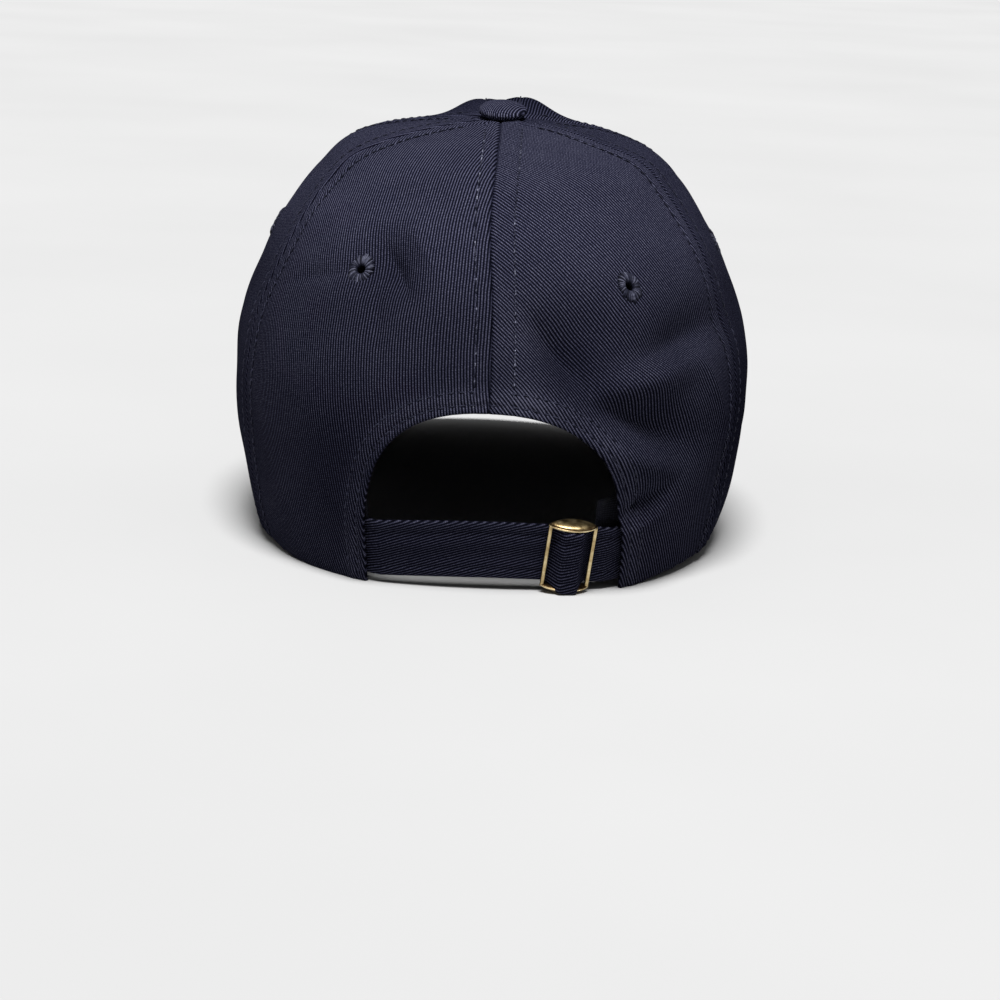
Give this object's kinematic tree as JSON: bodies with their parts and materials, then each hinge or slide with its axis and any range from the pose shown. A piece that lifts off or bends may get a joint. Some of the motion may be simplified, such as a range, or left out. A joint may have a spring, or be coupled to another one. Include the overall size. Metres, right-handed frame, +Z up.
{
  "type": "strapback cap",
  "caption": "Soft panelled cotton cap with a curved peak, a covered top button, sewn vent eyelets and a back strap in a brass slide buckle.",
  "frame": {"origin": "on the surface that the cap rests on, under the middle of its whole box", "axes": "+X to the wearer's right, +Y forward over the peak, +Z up"},
  "size_m": [0.1798, 0.2788, 0.1503],
  "materials": {
    "cotton_twill": "matte navy cotton twill with a fine diagonal rib",
    "thread": "navy sewing thread, slightly glossy",
    "band_cloth": "plain dark navy cotton",
    "antique_brass": "antique brass, worn bright on the high places and dark in the hollows"
  },
  "bodies": {
    "root": {"panel_back_left": "cotton_twill", "panel_back_right": "cotton_twill", "panel_side_left": "cotton_twill", "panel_side_right": "cotton_twill", "panel_front_left": "cotton_twill", "panel_front_right": "cotton_twill", "eyelet_back_left": "thread", "eyelet_back_right": "thread", "eyelet_side_left": "thread", "eyelet_side_right": "thread", "eyelet_front_left": "thread", "eyelet_front_right": "thread", "button": "cotton_twill", "peak": "cotton_twill", "sweatband": "band_cloth", "strap": "cotton_twill", "buckle": "antique_brass", "buckle_tab": "cotton_twill"}
  },
  "joints": []
}
